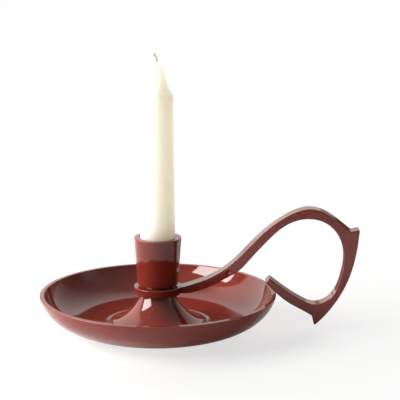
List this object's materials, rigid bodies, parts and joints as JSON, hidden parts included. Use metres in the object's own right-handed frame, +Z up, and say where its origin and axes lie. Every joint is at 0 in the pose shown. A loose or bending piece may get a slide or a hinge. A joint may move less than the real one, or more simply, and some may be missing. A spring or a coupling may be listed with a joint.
{
  "type": "chamberstick",
  "caption": "Lacquered chamberstick: shallow saucer, trumpet foot, candle socket with a taper candle, and a curved arm ending in an open finger loop with thumb points.",
  "frame": {"origin": "centre of the felt disc's lower face, where the chamberstick stands on the table, on the axis of the saucer, foot, socket and candle", "axes": "+Z up along the candle's axis; +X from that axis along the handle's arm towards the finger loop; +Y across, away from a viewer who sees the loop on the right"},
  "size_m": [0.2017, 0.1498, 0.1761],
  "materials": {
    "red_lacquer": "gloss oxblood lacquer over cast metal",
    "screw_steel": "plain turned steel",
    "base_felt": "pressed wool felt",
    "candle_wax": "smooth ivory wax, slightly translucent",
    "wick_cotton": "braided cotton"
  },
  "bodies": {
    "holder": {"saucer": "red_lacquer", "foot": "red_lacquer", "handle": "red_lacquer", "candle_socket": "red_lacquer", "clamp_screw": "screw_steel", "flat_washer": "screw_steel", "spring_washer": "screw_steel", "felt_disc": "base_felt"},
    "candle_body": {"candle": "candle_wax", "wick": "wick_cotton"}
  },
  "joints": [
    {"name": "candle_lift", "type": "slide", "parent": "holder", "child": "candle_body", "axis": [0, 0, 1], "range_m": [0, 0.03]}
  ]
}
